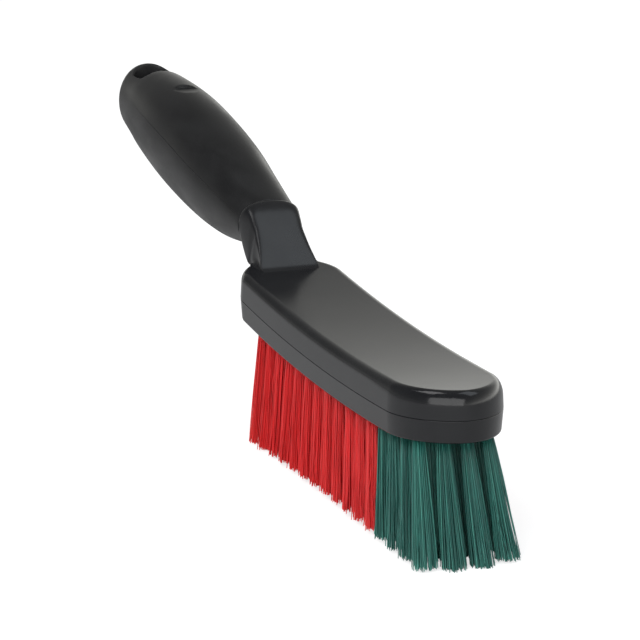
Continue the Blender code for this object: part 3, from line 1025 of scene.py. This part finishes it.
@dataclass
class Neck:
    """The neck: a flat face sloping from the grip to the block, with a hollow fillet round its foot."""

    form: BlockForm
    grip: GripForm
    gap: float = 0.3 * MM
    length: float = 23.5 * MM
    half_width: float = 10.8 * MM
    root_depth: float = 4.5 * MM
    root_width_share: float = 0.35
    rear_depth: float = 2 * MM
    flare_depth: float = 12 * MM
    blend_end: float = 5 * MM
    fillet: float = 2.4 * MM
    fillet_start: float = 4 * MM
    fillet_run: float = 5 * MM
    sink: float = 0.1 * MM
    stub_length: float = 2 * MM
    stub_share: float = 0.85
    face_points: int = 36
    fillet_points: int = 10
    station_count: int = 72
    sharp_angle: float = 50.0
    stations: Table = (0, 0.055, 0.15, 0.25, 0.425, 0.7, 0.86, 0.92, 1)
    faces: Table = (0.99, 0.972, 0.915, 0.83, 0.632, 0.31, 0.122, 0.056, 0)
    widths: Table = (1.04, 0.99, 0.92, 0.875, 0.86, 0.9, 0.96, 0.97, 0.94)
    flares: Table = (0, 0.04, 0.1, 0.14, 0.13, 0.06, 0.01, 0, 0)
    powers: Table = (2.6, 3.6, 6, 8, 8, 8, 8, 7, 5)
    finish: Finish = MouldedPlastic(roughness=0.29)

    def foot_side(self, x: float, top: float, half_width: float, power: float) -> list[Pair]:
        """Side of a section through the foot.

        Args:
            x: The section's place.
            top: Height of the neck's face there.
            half_width: Half the neck's width there.
            power: How square the upper corner is.

        Returns:
            Distances from the middle and heights, from the top down into the block.
        """
        block_top = self.form.cover_top(x)
        fillet = min(self.fillet, max(top - block_top, 0.0) / 2)
        spread = fillet * smooth_step((x - self.fillet_start) / self.fillet_run)
        shoulder = block_top + fillet
        side = []
        for i in range(self.face_points + 1):
            turn = QUARTER_TURN * i / self.face_points
            rise = max(math.cos(turn), 0.0) ** (2 / power)
            side.append((half_width * math.sin(turn) ** (2 / power), shoulder + (top - shoulder) * rise))
        for i in range(1, self.fillet_points + 1):
            turn = QUARTER_TURN * i / self.fillet_points
            height = shoulder - (shoulder - block_top + self.sink) * math.sin(turn)
            side.append((half_width + spread * (1 - math.cos(turn)), height))
        side.append((side[-1][0] * self.root_width_share, block_top - self.root_depth))
        side.append((0.0, block_top - self.root_depth))
        return side

    def ring(self, share: float) -> list[Vector]:
        """Section of the neck, which turns from the grip's oval into the foot.

        Args:
            share: Its place, as a share of the neck's length from the grip.

        Returns:
            Its points, from the top round by the left side.
        """
        start = self.grip.front + self.gap
        x = start + self.length * share
        half_height, centre = self.grip.section(self.grip.front)[1:]
        foot_top = self.form.cover_top(start + self.length) - self.sink
        top = foot_top + (centre + half_height - foot_top) * smooth_value(self.stations, self.faces, share)
        half_width = self.half_width * smooth_value(self.stations, self.widths, share)
        power = smooth_value(self.stations, self.powers, share)
        rear_bottom = self.form.cover_top(0) - self.rear_depth
        grip_bottom = centre - half_height
        bottom = grip_bottom + (rear_bottom - grip_bottom) * min((x - start) / -start, 1.0)
        bottom = min(bottom, top - self.gap)
        side = self.foot_side(x, top, half_width, power)
        foot = [Vector((x, -y, z)) for y, z in side] + [Vector((x, y, z)) for y, z in side[-2:0:-1]]
        upper = oval(x, half_width, (top - bottom) / 2, (top + bottom) / 2, power, len(foot))
        blend = smooth_step(x / self.blend_end)
        flare = smooth_value(self.stations, self.flares, share)
        ring = [a.lerp(b, blend) for a, b in zip(upper, foot)]
        for point in ring:
            point.y *= 1 + flare * smooth_step((top - point.z) / self.flare_depth)
        return ring

    def stub(self) -> list[Vector]:
        """Section inside the grip's front end, which keeps light from showing through the joint.

        Returns:
            Its points, in the order of the neck's first section.
        """
        x = self.grip.front + self.gap - self.stub_length
        centre = self.grip.section(self.grip.front)[2]
        share = self.stub_share
        return [Vector((x, p.y * share, centre + (p.z - centre) * share)) for p in self.ring(0)]

    def make(self) -> Piece:
        """Makes the neck.

        Returns:
            The neck.
        """
        count = self.station_count
        piece = skin("neck", [self.ring(1 - i / count) for i in range(count + 1)] + [self.stub()])
        dress(piece, self.finish, self.sharp_angle)
        return Piece(piece, "black_plastic", ("brush_body",))


@dataclass
class Grip:
    """The soft grip, with its hanging hole, the round recess on top and a mould line along each flank."""

    form: GripForm
    hole_length: float = 17.2 * MM
    hole_width: float = 15.8 * MM
    hole_corner: float = 2.5 * MM
    hole_tip_wall: float = 9.2 * MM
    hole_round_share: float = 0.999
    hole_round_segments: int = 20
    hole_corner_segments: int = 8
    hole_cutter_height: float = 60 * MM
    hole_cutter_centre: float = 90 * MM
    recess_radius: float = 4.9 * MM
    recess_depth: float = 0.7 * MM
    recess_to_tip: float = 57.7 * MM
    recess_cutter_height: float = 8 * MM
    recess_points: int = 48
    voxel: float = 0.5 * MM
    smoothing: float = 0.5
    smoothing_rounds: int = 5
    rim_band: float = 1.8 * MM
    rim_share: float = 0.4
    line_radius: float = 0.13 * MM
    line_end_share: float = 0.25
    line_height_share: float = 0.34
    line_front_margin: float = 1.2 * MM
    line_hole_margin: float = 4 * MM
    line_steps: int = 80
    line_sides: int = 6
    ring_points: int = 144
    ring_count: int = 110
    tip_ring_count: int = 18
    tip_clearance: float = 1e-6
    finish: Finish = SoftRubber()

    @property
    def hole_rear(self) -> float:
        """Place of the hole's rear end."""
        return self.form.tip + self.hole_tip_wall

    @property
    def hole_front(self) -> float:
        """Place of the hole's front end."""
        return self.hole_rear + self.hole_length

    @property
    def hole_middle(self) -> float:
        """Place of the hole's middle."""
        return self.hole_rear + self.hole_length / 2

    @property
    def recess_x(self) -> float:
        """Place of the recess's middle."""
        return self.form.tip + self.recess_to_tip

    def make_guide(self) -> bpy.types.Object:
        """Makes the grip's outer skin without its hole and recess.

        Returns:
            The closed skin.
        """
        form = self.form
        straight_end = form.tip + form.tip_round
        straight = straight_end - form.front
        places = [form.front + straight * i / self.ring_count for i in range(self.ring_count)]
        for i in range(self.tip_ring_count):
            closing = 1 - math.sin(QUARTER_TURN * i / self.tip_ring_count)
            places.append(form.tip + form.tip_round * closing + self.tip_clearance)
        return skin("grip_guide", [form.ring(x, self.ring_points) for x in places])

    def hole_cutter(self) -> bpy.types.Object:
        """Makes the cutter of the hanging hole: half round to the rear, with small corners in front.

        Returns:
            The cutter.
        """
        cutter = add_primitive(
            bpy.ops.mesh.primitive_cube_add,
            "hole_cutter",
            size=1.0,
            location=(self.hole_middle, 0, self.hole_cutter_centre),
            scale=(self.hole_length, self.hole_width, self.hole_cutter_height),
        )
        half_round = (True, self.hole_width / 2 * self.hole_round_share, self.hole_round_segments)
        small_corners = (False, self.hole_corner, self.hole_corner_segments)
        with editing(cutter):
            for at_rear, radius, segments in (half_round, small_corners):
                select_where(cutter, "EDGE", lambda edge, rear=at_rear: self.is_corner(edge, rear))
                bpy.ops.mesh.bevel(offset=radius, segments=segments, profile=0.5, affect="EDGES")
        return cutter

    def is_corner(self, edge: bmesh.types.BMEdge, at_rear: bool) -> bool:
        """Tells the upright edges of the hole's cutter.

        Args:
            edge: An edge of the cutter.
            at_rear: Whether the edges of its rear half are wanted, and not those of its front half.

        Returns:
            Whether the edge is one of them.
        """
        low, high = (end.co for end in edge.verts)
        upright = abs(low.z - high.z) > self.hole_cutter_height / 2
        return upright and (low.x < self.hole_middle) == at_rear

    def recess_cutter(self) -> bpy.types.Object:
        """Makes the cutter of the round recess.

        Returns:
            The cutter.
        """
        _, half_height, centre = self.form.section(self.recess_x)
        height = self.recess_cutter_height
        return add_primitive(
            bpy.ops.mesh.primitive_cylinder_add,
            "recess_cutter",
            vertices=self.recess_points,
            radius=self.recess_radius,
            depth=height,
            location=(self.recess_x, 0, centre + half_height - self.recess_depth + height / 2),
        )

    def to_hole(self, point: Vector) -> float:
        """Distance of a point from the hanging hole, in plan.

        Args:
            point: A point of the grip.

        Returns:
            The distance.
        """
        radius = self.hole_width / 2
        rear_centre = self.hole_rear + radius
        beyond = max(rear_centre - point.x, point.x - self.hole_front, 0.0)
        if point.x < rear_centre:
            return math.hypot(beyond, point.y) - radius
        return math.hypot(beyond, max(abs(point.y) - radius, 0.0))

    def to_recess(self, point: Vector) -> float:
        """Distance of a point from the recess, in plan.

        Args:
            point: A point of the grip.

        Returns:
            The distance, or one beyond the recess's influence on the underside.
        """
        if point.z < self.form.section(self.recess_x)[2]:
            return self.rim_band * 2
        return math.hypot(point.x - self.recess_x, point.y) - self.recess_radius

    def away_from_rims(self, point: Vector) -> float:
        """How fully a point belongs to the smooth outer skin: 0 at a rim, 1 well away from all of them."""
        nearest = min(self.to_hole(point), self.to_recess(point), self.form.front - point.x)
        return smooth_step((nearest - self.rim_share * self.rim_band) / self.rim_band)

    def make(self) -> Piece:
        """Makes the grip with soft rims at its hole, recess and front end.

        Returns:
            The grip.
        """
        guide = self.make_guide()
        piece = copy_of(guide, "grip")
        cut(piece, self.hole_cutter())
        cut(piece, self.recess_cutter())
        make_active(piece)
        piece.data.remesh_voxel_size = self.voxel
        bpy.ops.object.voxel_remesh()
        apply_modifier(piece, "SMOOTH", factor=self.smoothing, iterations=self.smoothing_rounds)
        skin_group = piece.vertex_groups.new(name="outer_skin")
        for vertex in piece.data.vertices:
            skin_group.add([vertex.index], self.away_from_rims(vertex.co), "REPLACE")
        nearest = {"wrap_method": "NEAREST_SURFACEPOINT", "vertex_group": skin_group.name}
        apply_modifier(piece, "SHRINKWRAP", target=guide, **nearest)
        piece.vertex_groups.clear()
        bpy.data.objects.remove(guide, do_unlink=True)
        dress(piece, self.finish)
        return Piece(piece, "black_rubber", ("grip_sleeve",))

    def make_mould_line(self, name: str, side: int) -> Piece:
        """Makes the fine raised line that the mould leaves along a flank.

        Args:
            name: The line's name.
            side: -1 for the left flank, 1 for the right one.

        Returns:
            The line, half sunk in the grip.
        """
        form = self.form
        start = form.front - self.line_front_margin
        end = self.hole_front + self.line_hole_margin
        across = (1 - self.line_height_share**form.power) ** (1 / form.power)
        turns = [FULL_TURN * k / self.line_sides for k in range(self.line_sides)]
        rings = []
        for i in range(self.line_steps + 1):
            x = start + (end - start) * i / self.line_steps
            half_width, half_height, centre = form.section(x)
            middle = Vector((x, side * half_width * across, centre + half_height * self.line_height_share))
            fullness = (1 - self.line_end_share) * math.sin(math.pi * i / self.line_steps)
            radius = self.line_radius * (self.line_end_share + fullness)
            rings.append([middle + radius * Vector((0, math.cos(t), math.sin(t))) for t in turns])
        piece = skin(name, rings)
        dress(piece, self.finish)
        return Piece(piece, "black_rubber")


@dataclass(frozen=True)
class Tuft:
    """A round bundle of filaments that lean together."""

    place: np.ndarray
    slope: np.ndarray
    root_height: float
    trim_height: float
    radius: float
    spread: float


class Strand(NamedTuple):
    """Middle line of a filament, from its root to its tip, bowed sideways between them."""

    root: np.ndarray
    tip: np.ndarray
    bow: np.ndarray


class Template(NamedTuple):
    """A filament of radius 1 and length 1, and each point's share of the way from the root as a column."""

    points: np.ndarray
    along: np.ndarray
    faces: list[Face]


@dataclass
class Tufts:
    """Rows of tufts, each of many fine filaments that are trimmed together."""

    form: BlockForm
    row_count: int = 17
    green_rows: int = 4
    toe_margin: float = 13.4 * MM
    pitch: float = 9.3 * MM
    spacing: float = 8.1 * MM
    lanes: int = 4
    rear_lanes: int = 2
    bow: float = 2.2 * MM
    squeeze: float = 0.07
    fan_power: float = 6.0
    radius: float = 2.6 * MM
    toe_radius: float = 1.95 * MM
    filaments: int = 190
    filament_radius: float = 0.15 * MM
    filament_radius_range: Pair = (0.88, 1.08)
    filament_taper: float = 0.12
    filament_sides: int = 5
    filament_parts: int = 5
    sharp_angle: float = 80.0
    spread: float = 1.5
    toe_spread: float = 2.15
    toe_spread_start: int = 10
    toe_spread_rows: int = 5
    rear_lean: float = -2.0
    toe_lean: float = 18.0
    lean_power: float = 1.3
    flare: float = 2.5
    toe_flare: float = 1.5
    trim_rise: float = 2 * MM
    toe_side_trim: float = 1.2 * MM
    raggedness: float = 1.1 * MM
    ragged_power: float = 1.6
    flat_cut: float = 0.5 * MM
    short_share: float = 0.06
    short_by: float = 2.4 * MM
    root_depth: float = 2.2 * MM
    turn_noise: float = 0.1
    tip_noise: float = 0.42 * MM
    bow_noise: float = 0.26 * MM
    tuft_shade_noise: float = 0.05
    stray_share: float = 0.014
    stray_reach: Pair = (0.8 * MM, 1.7 * MM)
    stray_bow: Pair = (0.2 * MM, 0.9 * MM)
    seed: int = 5

    def row_x(self, row: int) -> float:
        """Place of a row, counted from the rear."""
        return self.form.length - self.toe_margin - (self.row_count - 1 - row) * self.pitch

    def toe_share(self, row: int) -> float:
        """Share by which a row follows the round toe."""
        return (self.row_x(row) / self.row_x(self.row_count - 1)) ** self.fan_power

    @property
    def outer_lane(self) -> float:
        """Distance of the outer lanes from the middle."""
        return self.spacing * (self.lanes - 1) / 2

    def places(self, row: int) -> list[Pair]:
        """Places of a row's tufts.

        Args:
            row: The row, counted from the rear.

        Returns:
            X and Y of each tuft.
        """
        count = self.rear_lanes if row == 0 else self.lanes
        spacing = self.spacing * (1 - self.squeeze * self.toe_share(row))
        lanes = [spacing * (i - (count - 1) / 2) for i in range(count)]
        bow = self.bow * self.toe_share(row)
        return [(self.row_x(row) - bow * (y / self.outer_lane) ** 2, y) for y in lanes]

    def all_places(self) -> list[Pair]:
        """Places of all the tufts."""
        return [place for row in range(self.row_count) for place in self.places(row)]

    def trim(self, x: float, y: float) -> float:
        """Height to which the bristles are trimmed.

        Args:
            x: A place along the brush.
            y: A place across it.

        Returns:
            The height there.
        """
        rear = self.row_x(0)
        share = min(max((x - rear) / (self.form.length - rear), 0.0), 1.0)
        beside_toe = self.toe_side_trim * share**self.fan_power * (y / self.outer_lane) ** 2
        return self.trim_rise * 4 * share * (1 - share) + beside_toe

    def tuft(self, row: int, x: float, y: float) -> Tuft:
        """Works out a tuft's lean, fullness and trim.

        Args:
            row: Its row.
            x: Its place along the brush.
            y: Its place across it.

        Returns:
            The tuft.
        """
        share = row / (self.row_count - 1)
        lean = math.radians(self.rear_lean + (self.toe_lean - self.rear_lean) * share**self.lean_power)
        flare = math.radians((self.flare + self.toe_flare * self.toe_share(row)) * y / self.outer_lane)
        slope = np.array([math.tan(lean), math.tan(flare)])
        root_height = self.form.underside(x)
        toe = smooth_step((row - self.toe_spread_start) / self.toe_spread_rows)
        return Tuft(
            place=np.array([x, y]),
            slope=slope,
            root_height=root_height,
            trim_height=self.trim(x + slope[0] * root_height, y),
            radius=self.radius + (self.toe_radius - self.radius) * toe,
            spread=self.spread + (self.toe_spread - self.spread) * toe,
        )

    def strand(self, tuft: Tuft, number: int, chance: np.random.Generator) -> Strand:
        """Works out one filament of a tuft.

        Args:
            tuft: The tuft.
            number: The filament, counted from the tuft's middle outwards.
            chance: The source of small differences.

        Returns:
            The filament's middle line.
        """
        reach = math.sqrt((number + 0.5) / self.filaments) * (tuft.radius - self.filament_radius)
        turn = number * math.pi * (3 - math.sqrt(5)) + chance.normal(0, self.turn_noise)
        offset = reach * np.array([math.cos(turn), math.sin(turn)])
        ragged = self.raggedness * chance.random() ** self.ragged_power
        end = max(tuft.trim_height - self.flat_cut + ragged, 0.0)
        if chance.random() < self.short_share:
            end += chance.random() * self.short_by
        drop = tuft.root_height - end
        tip = tuft.place + offset * tuft.spread + tuft.slope * drop + chance.normal(0, self.tip_noise, 2)
        bow = chance.normal(0, self.bow_noise, 2)
        if chance.random() < self.stray_share:
            outward = np.array([chance.normal(0, 1.0), math.copysign(1.0, tuft.place[1])])
            tip = tip + outward * chance.uniform(*self.stray_reach)
            bow = bow - outward * chance.uniform(*self.stray_bow)
        per_height = (tip - tuft.place - offset) / drop
        root = tuft.place + offset - per_height * self.root_depth
        return Strand(np.array([*root, tuft.root_height + self.root_depth]), np.array([*tip, end]), bow)

    def make_template(self) -> Template:
        """Models one filament, of which the others are copies.

        Returns:
            Its points and faces.
        """
        cylinder = bpy.ops.mesh.primitive_cylinder_add
        size = {"vertices": self.filament_sides, "radius": 1.0, "depth": 1.0, "location": (0, 0, 0.5)}
        piece = add_primitive(cylinder, "filament", **size)
        with editing(piece):
            for i in range(1, self.filament_parts):
                bpy.ops.mesh.select_all(action="SELECT")
                bpy.ops.mesh.bisect(plane_co=(0, 0, i / self.filament_parts), plane_no=(0, 0, 1))
        points = np.array([vertex.co[:] for vertex in piece.data.vertices])
        faces = [tuple(face.vertices) for face in piece.data.polygons]
        bpy.data.objects.remove(piece, do_unlink=True)
        return Template(points, 1 - points[:, 2:3], faces)

    def bent(self, template: Template, strand: Strand, chance: np.random.Generator) -> np.ndarray:
        """Bends the template along a filament's middle line.

        Args:
            template: The template.
            strand: The middle line.
            chance: The source of small differences.

        Returns:
            The filament's points.
        """
        along = template.along
        points = strand.root + (strand.tip - strand.root) * along
        points[:, :2] += strand.bow * 4 * along * (1 - along)
        radius = self.filament_radius * chance.uniform(*self.filament_radius_range)
        points[:, :2] += template.points[:, :2] * radius * (1 - self.filament_taper * along)
        return points

    def make_row(self, row: int, template: Template) -> Piece:
        """Makes all the filaments of a row.

        Args:
            row: The row, counted from the rear.
            template: The filament to copy.

        Returns:
            The row.
        """
        first_green = self.row_count - self.green_rows
        colour = BristleColour.GREEN if row >= first_green else BristleColour.RED
        number = row - first_green + 1 if row >= first_green else row + 1
        chance = np.random.default_rng(self.seed + row)
        count = len(template.points)
        points, faces, labels = [], [], []
        for x, y in self.places(row):
            tuft_shade = 0.5 + chance.normal(0, self.tuft_shade_noise)
            tuft = self.tuft(row, x, y)
            for strand in [self.strand(tuft, i, chance) for i in range(self.filaments)]:
                first = len(points) * count
                faces.extend(tuple(first + i for i in face) for face in template.faces)
                points.append(self.bent(template, strand, chance))
                shade = min(max(tuft_shade + chance.normal(0, colour.value.variety), 0.0), 1.0)
                labels.append(np.column_stack((np.full(count, shade), template.along)))
        word = colour.name.lower()
        piece = labelled_piece(f"{word}_tufts_{number:02d}", points, faces, labels)
        dress(piece, colour.value, self.sharp_angle)
        return Piece(piece, f"{word}_bristle", (f"{word}_tuft_row_{number:02d}",))

    def make(self) -> list[Piece]:
        """Makes every row."""
        template = self.make_template()
        return [self.make_row(row, template) for row in range(self.row_count)]


# Studio


@dataclass(frozen=True)
class Softbox:
    """A rectangular lamp that faces the block."""

    name: str
    place: Point
    size: Pair
    power: float
    colour: Point = (1.0, 1.0, 1.0)
    mirrored: bool = True
    target: Point = (0.05, 0.0, 0.05)

    def hang(self) -> None:
        """Adds the lamp, which the camera doesn't see."""
        lamp = bpy.data.lights.new(self.name, "AREA")
        lamp.shape = "RECTANGLE"
        lamp.size, lamp.size_y = self.size
        lamp.energy = self.power
        lamp.color = self.colour
        holder = bpy.data.objects.new(self.name, lamp)
        holder.visible_camera = False
        holder.visible_glossy = self.mirrored
        bpy.context.scene.collection.objects.link(holder)
        holder.location = self.place
        aim = Vector(self.target) - Vector(self.place)
        holder.rotation_euler = aim.to_track_quat("-Z", "Y").to_euler()


SOFTBOXES = (
    Softbox("key_softbox", (0.95, -0.95, 1.15), (0.8, 0.8), 8.2, mirrored=False),
    Softbox("neck_softbox", (0.5, 0.47, 1.3), (0.85, 1.05), 3.4, colour=(0.87, 0.94, 1.0)),
    Softbox("toe_softbox", (1.14, -0.86, 0.46), (1.9, 0.82), 9.4),
    Softbox("ridge_softbox", (-0.09, -0.6, 1.12), (0.55, 0.5), 2.1),
)


@dataclass
class Studio:
    """Pale floor, soft light and the camera."""

    rear_x: float
    floor_size: float = 12.0
    floor_finish: Finish = FloorPaint()
    softboxes: tuple[Softbox, ...] = SOFTBOXES
    sky_strength: float = 0.52
    sky_warmth: Point = (1.0, 1.0, 0.955)
    sky_heights: Table = (0, 0.08, 0.15, 0.24, 0.4, 0.6, 1)
    sky_mirrored: Table = (0.8, 0.87, 0.5, 0.32, 0.19, 0.13, 0.09)
    sky_slant: float = 1.6
    sky_least: float = 0.3
    focal_pixels: float = 3379.54
    sensor_width: float = 36.0
    clip_start: float = 0.05
    camera_place: Point = (1.088909, -0.390338, 0.326146)
    camera_back: Point = (0.90872301, -0.3397314, 0.24249755)
    camera_right: Point = (0.34919296, 0.93704135, 0.00421731)

    def make_floor(self) -> None:
        """Makes the floor, which isn't part of the object."""
        floor = add_primitive(bpy.ops.mesh.primitive_plane_add, "floor", size=self.floor_size)
        floor.data.materials.append(self.floor_finish.material(floor.name))

    def light_world(self) -> None:
        """Lights the world: white to the camera, plain on surfaces, brightest low down in reflections."""
        world = bpy.data.worlds.new("studio")
        bpy.context.scene.world = world
        graph = Graph(world)
        path = graph.node("ShaderNodeLightPath")
        seen = graph.value(path, "Is Camera Ray").at_least(graph.value(path, "Is Transmission Ray"))
        glossy = graph.value(path, "Is Glossy Ray")
        direction = graph.split("Generated")
        stops = [(place, (level,) * 3) for place, level in zip(self.sky_heights, self.sky_mirrored)]
        ramp = graph.node("ShaderNodeValToRGB", {"stops": stops}, {"Fac": direction.outputs["Z"]})
        slant = (graph.value(direction, "Y") * self.sky_slant + 1.0).at_least(self.sky_least)
        lighting = glossy * (graph.value(ramp) * slant) + (1.0 - glossy) * self.sky_strength
        sockets = {
            "Color": graph.mix(glossy, (1.0, 1.0, 1.0), self.sky_warmth),
            "Strength": seen + (1.0 - seen) * lighting,
        }
        graph.close("ShaderNodeOutputWorld", "ShaderNodeBackground", sockets)

    def make_camera(self) -> None:
        """Makes the camera at the photograph's viewpoint."""
        back = Vector(self.camera_back).normalized()
        right = Vector(self.camera_right)
        right = (right - back * right.dot(back)).normalized()
        up = back.cross(right)
        lens = bpy.data.cameras.new("camera")
        lens.sensor_width = self.sensor_width
        lens.lens = self.sensor_width * self.focal_pixels / IMAGE_SIZE
        lens.clip_start = self.clip_start
        camera = bpy.data.objects.new("camera", lens)
        bpy.context.scene.collection.objects.link(camera)
        turn = Matrix((right, up, back)).transposed().to_4x4()
        place = Vector(self.camera_place) + Vector((self.rear_x, 0, 0))
        camera.matrix_world = Matrix.Translation(place) @ turn
        bpy.context.scene.camera = camera

    def make(self) -> None:
        """Makes the floor, the light and the camera."""
        self.make_floor()
        self.light_world()
        for softbox in self.softboxes:
            softbox.hang()
        self.make_camera()
        bpy.context.scene.view_settings.view_transform = "Standard"


# The whole brush


def settle(piece: Piece, rear_x: float) -> None:
    """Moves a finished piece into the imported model's frame and ties it to the body.

    Args:
        piece: The piece, with its place in its mesh.
        rear_x: Where the block's rear end lies in that frame.
    """
    shape = piece.shape
    shape.data.transform(Matrix.Translation((rear_x, 0, 0)))
    shape.data.update()
    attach(shape, "root")
    if piece.nodes:
        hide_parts(*piece.nodes)
    LOG.info("%s: %d points, %d faces", shape.name, len(shape.data.vertices), len(shape.data.polygons))


def main() -> None:
    """Builds the brush's pieces, then the studio."""
    logging.basicConfig(level=logging.INFO, format="%(name)s %(message)s")
    block_form = BlockForm()
    grip_form = GripForm()
    rear_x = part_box("tuft_carrier")[1].x - block_form.length
    tufts = Tufts(block_form)
    block = Block(block_form, tufts.all_places())
    grip = Grip(grip_form)
    pieces = [block.make_cover(), block.make_carrier(), Neck(block_form, grip_form).make(), grip.make()]
    pieces.append(grip.make_mould_line("mould_line_left", -1))
    pieces.append(grip.make_mould_line("mould_line_right", 1))
    pieces.extend(tufts.make())
    for piece in pieces:
        settle(piece, rear_x)
    Studio(rear_x).make()


if __name__ == "__main__":
    main()
